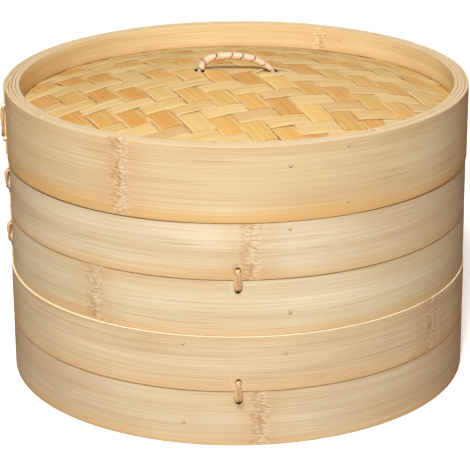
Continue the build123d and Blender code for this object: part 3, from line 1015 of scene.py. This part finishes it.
for number, tone in strip_tones(GOLD_TONES, 1):
    centre = GOLD_START + number * GOLD_PITCH
    weave_strip(f"weave_gold_{number + 11}", GOLD_ALONG, GOLD_ACROSS, centre, GOLD_WIDTH, True, number, tone)
split_at = LEG_HOLES[1] * PALE_ACROSS[0]
for number, tone in strip_tones(PALE_TONES, 2):
    centre = PALE_START + number * PALE_PITCH
    name = f"weave_pale_{number + 13}"
    lanes = [(name, centre, PALE_WIDTH)]
    if abs(centre - split_at) < PALE_WIDTH / 3:
        # This strip is split along its grain, because the handle's right leg comes up through it.
        low = centre - PALE_WIDTH / 2
        high = centre + PALE_WIDTH / 2
        below = split_at - 0.05 * MM
        above = split_at + 0.05 * MM
        lanes = [
            (f"{name}_a", (low + below) / 2, below - low),
            (f"{name}_b", (above + high) / 2, high - above),
        ]
    for lane_name, lane_centre, width in lanes:
        weave_strip(lane_name, PALE_ALONG, PALE_ACROSS, lane_centre, width, False, number, tone)

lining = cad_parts["lid_lining"]
lining.data.materials.clear()
lining.data.materials.append(LEAF)


# ---- floors, rings, bars and bows ----
BAR_SIDES = 14
BAR_NODE_SPACING = 290 * MM


def split_bar(node, path, half_width, half_height, side, body, round_end=None):
    """Hand-split bar along a path, with a soft rounded section that changes a little along it. side
    is the direction of its width. round_end is (axis of the bar, radius that its ends are cut to)."""
    path = np.array(path)
    travelled = lengths_along(path)
    f = TURN * (travelled / travelled[-1])[:, None]
    half_width = half_width * (0.985 - 0.015 * Wobble(4, 1, 6)(f))
    half_height = half_height * (0.97 - 0.03 * Wobble(4, 1, 6)(f))
    up = np.cross(tangents(path), side)
    up /= np.linalg.norm(up, axis=1)[:, None]
    t = sides(BAR_SIDES) + TURN / (2 * BAR_SIDES)
    edge = np.abs(np.cos(t)) ** 0.28
    across = half_width * np.sign(np.cos(t)) * edge
    high = half_height * np.sign(np.sin(t)) * np.abs(np.sin(t)) ** 0.34
    points = tube_points(path, side, up, across, high)
    if round_end:
        axis, radius = round_end
        points[:, axis] *= np.sqrt(radius ** 2 - points[:, 1 - axis] ** 2) / abs(path[-1][axis])
    along = np.repeat(travelled, BAR_SIDES) + rng.uniform(0, 0.3)
    scar = along % BAR_NODE_SPACING - BAR_NODE_SPACING / 2
    obj = new_object(
        f"{node}_split", points, tube_faces(len(path), BAR_SIDES), SPLIT, body, [node],
        floats={
            "grain_u": along,
            "grain_v": across + high * 0.4,
            "scar": scar / MM,
            "edge": np.tile(edge * 0.9, len(path)),
        },
    )
    sharpen(obj, 55)


def straight_bar(node, axis, body, radius):
    """Bar that fills the box of its CAD node, along X (axis 0) or Y (axis 1), inside a round wall."""
    low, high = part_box(node)
    middle = (low + high) / 2
    size = high - low
    path = []
    for t in np.linspace(-1, 1, 40):
        p = list(middle)
        p[axis] += t * (size[axis] / 2 - 0.2 * MM)
        path.append(p)
    side = [0, 0, 0]
    side[1 - axis] = 1
    split_bar(node, path, size[1 - axis] / 2, size[2] / 2, side, body, (axis, radius))


for tier in ("lower", "upper"):
    body = BODIES[tier]
    for n in range(1, 10):
        straight_bar(f"{tier}_slat_{n}", 1, body, INNER_RADIUS - 0.2 * MM)
    for end in ("front", "back"):
        straight_bar(f"{tier}_cross_bar_{end}", 0, body, INNER_RADIUS - FLOOR_RING_WIDTH - 0.3 * MM)
    for part, width, lap in (("floor_ring", FLOOR_RING_WIDTH, 40), ("hold_down_ring", HOLD_DOWN_WIDTH, 100)):
        node = f"{tier}_{part}"
        low, high = heights(node)
        radius = outer_radius(node)
        wound_strip(f"{node}_split", node, radius - width, radius, low, high, lap, lap + 140, SPLIT, body,
                    turns=1, ease=22.0, wave=0.10 * MM, scar_turn=0)

bow_middle = DOME_SPHERE - MAT_THICKNESS - LINING_THICKNESS - BOW_HEIGHT / 2
for side in ("left", "right"):
    node = f"lid_bow_{side}"
    low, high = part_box(node)
    x = (low[0] + high[0]) / 2
    path = []
    for y in np.linspace(-1, 1, 60) * (high[1] - 1.0 * MM):
        path.append((x, y, DOME_CENTRE + math.sqrt(bow_middle ** 2 - x * x - y * y)))
    split_bar(node, path, (high[0] - low[0]) / 2, BOW_HEIGHT / 2 - 0.05 * MM, (1, 0, 0), "lid")

# The stick that the handle is hooked round is a thin, slightly lumpy round bar.
STICK_SIDES = 16
node = "lid_handle_stick"
low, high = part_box(node)
stick_z = (low[2] + high[2]) / 2
stick_radius = (high[2] - low[2]) / 2
xs = np.linspace(low[0] + 0.2 * MM, high[0] - 0.2 * MM, 70)
lumps = Wobble(5, 2, 9)(TURN * (xs - low[0]) / (high[0] - low[0]))
r = stick_radius * (0.96 + 0.03 * lumps)[:, None]
t = sides(STICK_SIDES)
path = np.stack([xs, 0 * xs, 0 * xs + stick_z], axis=-1)
points = tube_points(path, SIDEWAYS, UP, r * np.cos(t), r * np.sin(t))
made = new_object(
    "lid_handle_stick_split", points, tube_faces(len(xs), STICK_SIDES), SPLIT, "lid", [node],
    floats={
        "grain_u": points[:, 0],
        "grain_v": points[:, 1],
        "scar": points[:, 0] / MM - 12.0,
        "edge": np.full(len(points), 0.3),
    },
)
sharpen(made, 60)


# ---- handle ----
def catmull(knots, steps):
    """Smooth curve through the knots."""
    k = [np.array(p, dtype=float) for p in knots]
    k = [2 * k[0] - k[1]] + k + [2 * k[-1] - k[-2]]
    out = []
    for i in range(1, len(k) - 2):
        for t in np.linspace(0, 1, steps, endpoint=False):
            out.append(0.5 * (2 * k[i] + (k[i + 1] - k[i - 1]) * t
                              + (2 * k[i - 1] - 5 * k[i] + 4 * k[i + 1] - k[i + 2]) * t ** 2
                              + (3 * k[i] - k[i - 1] - 3 * k[i + 1] + k[i + 2]) * t ** 3))
    out.append(k[-2])
    return np.array(out)


def evenly(path, step):
    """The same curve with points at an even distance, and their distance from its start."""
    travelled = lengths_along(path)
    at = np.linspace(0, travelled[-1], int(travelled[-1] / step))
    return np.stack([np.interp(at, travelled, path[:, i]) for i in range(3)], axis=-1), at


# Middle line of the cane as (x, z) in mm, from the left foot over the top to the right foot. Each
# foot is nearly straight where it passes the weave, and the arch is bent by hand, so not even.
ARCH = [
    (-20, stick_z / MM), (-20.2, 159.5), (-20.0, 162.8), (-18.6, 166.0), (-16.4, 169.0), (-12.8, 170.9),
    (-8.5, 171.6), (-3.8, 171.8), (2.3, 171.4), (9.5, 169.8), (14.3, 167.3), (17.6, 165.1), (19.6, 162.4),
    (20, 158.6), (20, stick_z / MM),
]
CANE_RADIUS = 1.25 * MM
CANE_SIDES = 12
EYE_STEPS = 32
EYE_MIDDLE = 2.85 * MM          # radius of an eye's middle line
EYE_HALF_THICKNESS = 0.72 * MM
EYE_HALF_WIDTH = 2.1 * MM

line, travelled = evenly(catmull([(x * MM, 0, z * MM) for x, z in ARCH], 20), 0.22 * MM)
up = np.cross(tangents(line), SIDEWAYS)

t = sides(CANE_SIDES)
core = line[::3]
points = tube_points(core, SIDEWAYS, up[::3], CANE_RADIUS * np.cos(t), CANE_RADIUS * np.sin(t))
parts = [(points, tube_faces(len(core), CANE_SIDES))]
u_values = [np.repeat(travelled[::3], CANE_SIDES)]
v_values = [np.tile(CANE_RADIUS * t, len(core))]
# Both feet are bent into an eye round the stick.
for side in (-1, 1):
    a = sides(EYE_STEPS)
    out = np.stack([0 * a, np.cos(a), np.sin(a)], axis=-1)
    points = tube_points((side * LEG_SPREAD, 0, stick_z), out, (1, 0, 0),
                         EYE_MIDDLE + EYE_HALF_THICKNESS * np.cos(t), EYE_HALF_WIDTH * np.sin(t))
    parts.append((points, tube_faces(EYE_STEPS, CANE_SIDES, closed_rows=True)))
    u_values.append(np.repeat(EYE_MIDDLE * a, CANE_SIDES))
    v_values.append(np.tile(EYE_HALF_THICKNESS * t, EYE_STEPS))
points, faces = join_meshes(parts)
new_object("handle_cane_core", points, faces, HANDLE_CANE, "handle", ["handle_core"],
           floats={"grain_u": np.concatenate(u_values), "grain_v": np.concatenate(v_values),
                   "groove_and_shade": np.zeros(len(points))})

# The strip wound round the cane: grooves between its turns slant across the arch.
GROOVES_AT = [-17.7, -12.4, -3.3, 2.3, 8.6, 14.4, 19.0]     # x in mm, on the cane's middle line
WINDING_STARTS = 163.9 * MM                                 # heights at the left and the right foot
WINDING_ENDS = 163.3 * MM
WINDING_RADIUS = 2.02 * MM
WINDING_SIDES = 48
STRIP_ON_CANE = 6 * MM                                      # width of the wound strip
start = int(np.argmax((line[:, 2] > WINDING_STARTS) & (line[:, 0] < 0)))
finish = len(line) - 1 - int(np.argmax((line[::-1, 2] > WINDING_ENDS) & (line[::-1, 0] > 0)))
turn_starts = [travelled[start]]
for x in GROOVES_AT:
    turn_starts.append(float(np.interp(x * MM, line[start:finish, 0], travelled[start:finish])))


def winding_radius(from_start, to_end):
    """Radius of the winding: fuller just above the left foot, thinner towards the right one, and
    drawn in at both ends."""
    full = WINDING_RADIUS - 0.55 * MM * smooth(1 - to_end / (14 * MM))
    full = full + 0.16 * MM * smooth(1 - np.abs(from_start - 2.0 * MM) / (2.5 * MM))
    return full * np.sqrt(np.clip(np.minimum(from_start / (1.3 * MM), to_end / (0.7 * MM)), 0.05, 1.0))


along = travelled[start:finish]
turns_done = np.interp(along, turn_starts, range(len(turn_starts)))[:, None]
t = sides(WINDING_SIDES)
# f goes from 0 to 1 across the strip, from one groove to the next.
f = (turns_done - 0.16 * np.sin(t - 0.5) + 0.10 * np.cos(t)) % 1.0
# The groove between the strip's turns is cut into the mesh and also painted dark as shade.
groove_and_shade = np.exp(-(np.minimum(f, 1 - f) / 0.045) ** 2)
ply = 0.05 * MM * np.cos(TURN * 4 * f)
crown = 0.16 * MM * (1 - (2 * f - 1) ** 4)
r = winding_radius(along - along[0], along[-1] - along)[:, None] + crown + ply
r = r - 0.5 * MM * groove_and_shade - 0.12 * MM * f
points = tube_points(line[start:finish], SIDEWAYS, up[start:finish], r * np.cos(t), r * np.sin(t))
new_object("handle_binding", points, tube_faces(len(along), WINDING_SIDES), HANDLE_CANE, "handle",
           ["handle_wrap"],
           floats={"grain_u": np.tile(TURN / 3 * MM * t, len(along)), "grain_v": f * STRIP_ON_CANE,
                   "groove_and_shade": groove_and_shade})


# ---- stage, light and camera ----
def stage_material(name, grey, near, far):
    """Matt paper with a glow of its own, near the object and far from it."""
    colour = (grey, grey, grey)
    s = Shader(name, 0.9)
    s.constant("Specular IOR Level", 0.0)
    s.constant("Emission Color", (*colour, 1.0))
    away = s.node("ShaderNodeVectorMath", operation="LENGTH")
    s.link(s.node("ShaderNodeTexCoord").outputs["Object"], away.inputs[0])
    s.feed(s.principled.inputs["Emission Strength"], s.spread(away.outputs["Value"], 0.4, 3.0, near, far))
    return s.finish(colour)


def stage_mesh(name, points, faces, material):
    mesh = bpy.data.meshes.new(name)
    mesh.from_pydata(points, [], faces)
    mesh.materials.append(material)
    obj = bpy.data.objects.new(name, mesh)
    bpy.context.scene.collection.objects.link(obj)
    obj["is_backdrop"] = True
    # The stage doesn't tint the object, as a photographer's flags would see to.
    obj.visible_diffuse = False
    obj.visible_glossy = False
    return obj


FLOOR_HALF = 12.0
PAPER_RADIUS = 11.0
PAPER_LOW = -1.0
PAPER_HIGH = 9.0
PAPER_SIDES = 48
floor_z = cad_low[2] - 0.05 * MM
corners = [(x * FLOOR_HALF, y * FLOOR_HALF, floor_z) for x, y in ((-1, -1), (1, -1), (1, 1), (-1, 1))]
stage_mesh("floor", corners, [(0, 1, 2, 3)], stage_material("floor_white", 0.93, 0.40, 1.1))

# White paper all round, behind the lights. It gives the object no light of its own.
paper_points = []
for z in (PAPER_LOW, PAPER_HIGH):
    for k in range(PAPER_SIDES):
        a = TURN * k / PAPER_SIDES
        paper_points.append((PAPER_RADIUS * math.sin(a), PAPER_RADIUS * math.cos(a), z))
paper_faces = []
for k in range(PAPER_SIDES):
    n = (k + 1) % PAPER_SIDES
    paper_faces.append((k, n, PAPER_SIDES + n, PAPER_SIDES + k))
paper_faces.append(tuple(range(PAPER_SIDES, 2 * PAPER_SIDES)))
paper = stage_mesh("backdrop", paper_points, paper_faces, stage_material("paper_white", 1.0, 1.1, 1.1))
paper.visible_shadow = False

world = bpy.data.worlds.new("studio")
bpy.context.scene.world = world
world.use_nodes = True
background = world.node_tree.nodes["Background"]
background.inputs["Color"].default_value = (1.0, 0.67, 0.46, 1.0)
background.inputs["Strength"].default_value = 0.225


def softbox(name, place, size, power, colour, shine=True):
    """Round area light, aimed at the object, that the camera doesn't see."""
    light = bpy.data.lights.new(name, "AREA")
    light.shape = "DISK"
    light.size = size
    light.energy = power
    light.color = colour
    obj = bpy.data.objects.new(name, light)
    bpy.context.scene.collection.objects.link(obj)
    obj.location = place
    target = Vector((0, 0, 0.1))
    obj.rotation_euler = (target - Vector(place)).to_track_quat("-Z", "Y").to_euler()
    obj.visible_camera = False
    obj.visible_glossy = shine


softbox("key", (-0.22, -1.62, 1.72), 0.36, 62.5, (0.975, 1.0, 1.0))
softbox("top", (0.0, 0.1, 2.2), 1.2, 3, (1.0, 0.98, 0.95), shine=False)
softbox("rear", (0.7, 2.3, 0.7), 1.2, 21, (1.0, 0.93, 0.84), shine=False)

CAMERA_PLACE = (-1.35 * MM, -1109.39 * MM, 469.09 * MM)
CAMERA_LENS = 163.02            # in mm, for a sensor 36 mm wide
CAMERA_DOWN = math.radians(19.8176)
CAMERA_ROLL = math.radians(-0.358)
camera_data = bpy.data.cameras.new("camera")
camera_data.lens = CAMERA_LENS
camera_data.sensor_width = 36
camera_data.clip_start = 0.05
camera_data.clip_end = 60
camera = bpy.data.objects.new("camera", camera_data)
bpy.context.scene.collection.objects.link(camera)
camera.location = CAMERA_PLACE
camera.rotation_mode = "QUATERNION"
facing = Vector((0, math.cos(CAMERA_DOWN), -math.sin(CAMERA_DOWN))).to_track_quat("-Z", "Y")
camera.rotation_quaternion = facing @ Quaternion((0, 0, 1), CAMERA_ROLL)
bpy.context.scene.camera = camera
bpy.context.scene.view_settings.view_transform = "Standard"

low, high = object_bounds()
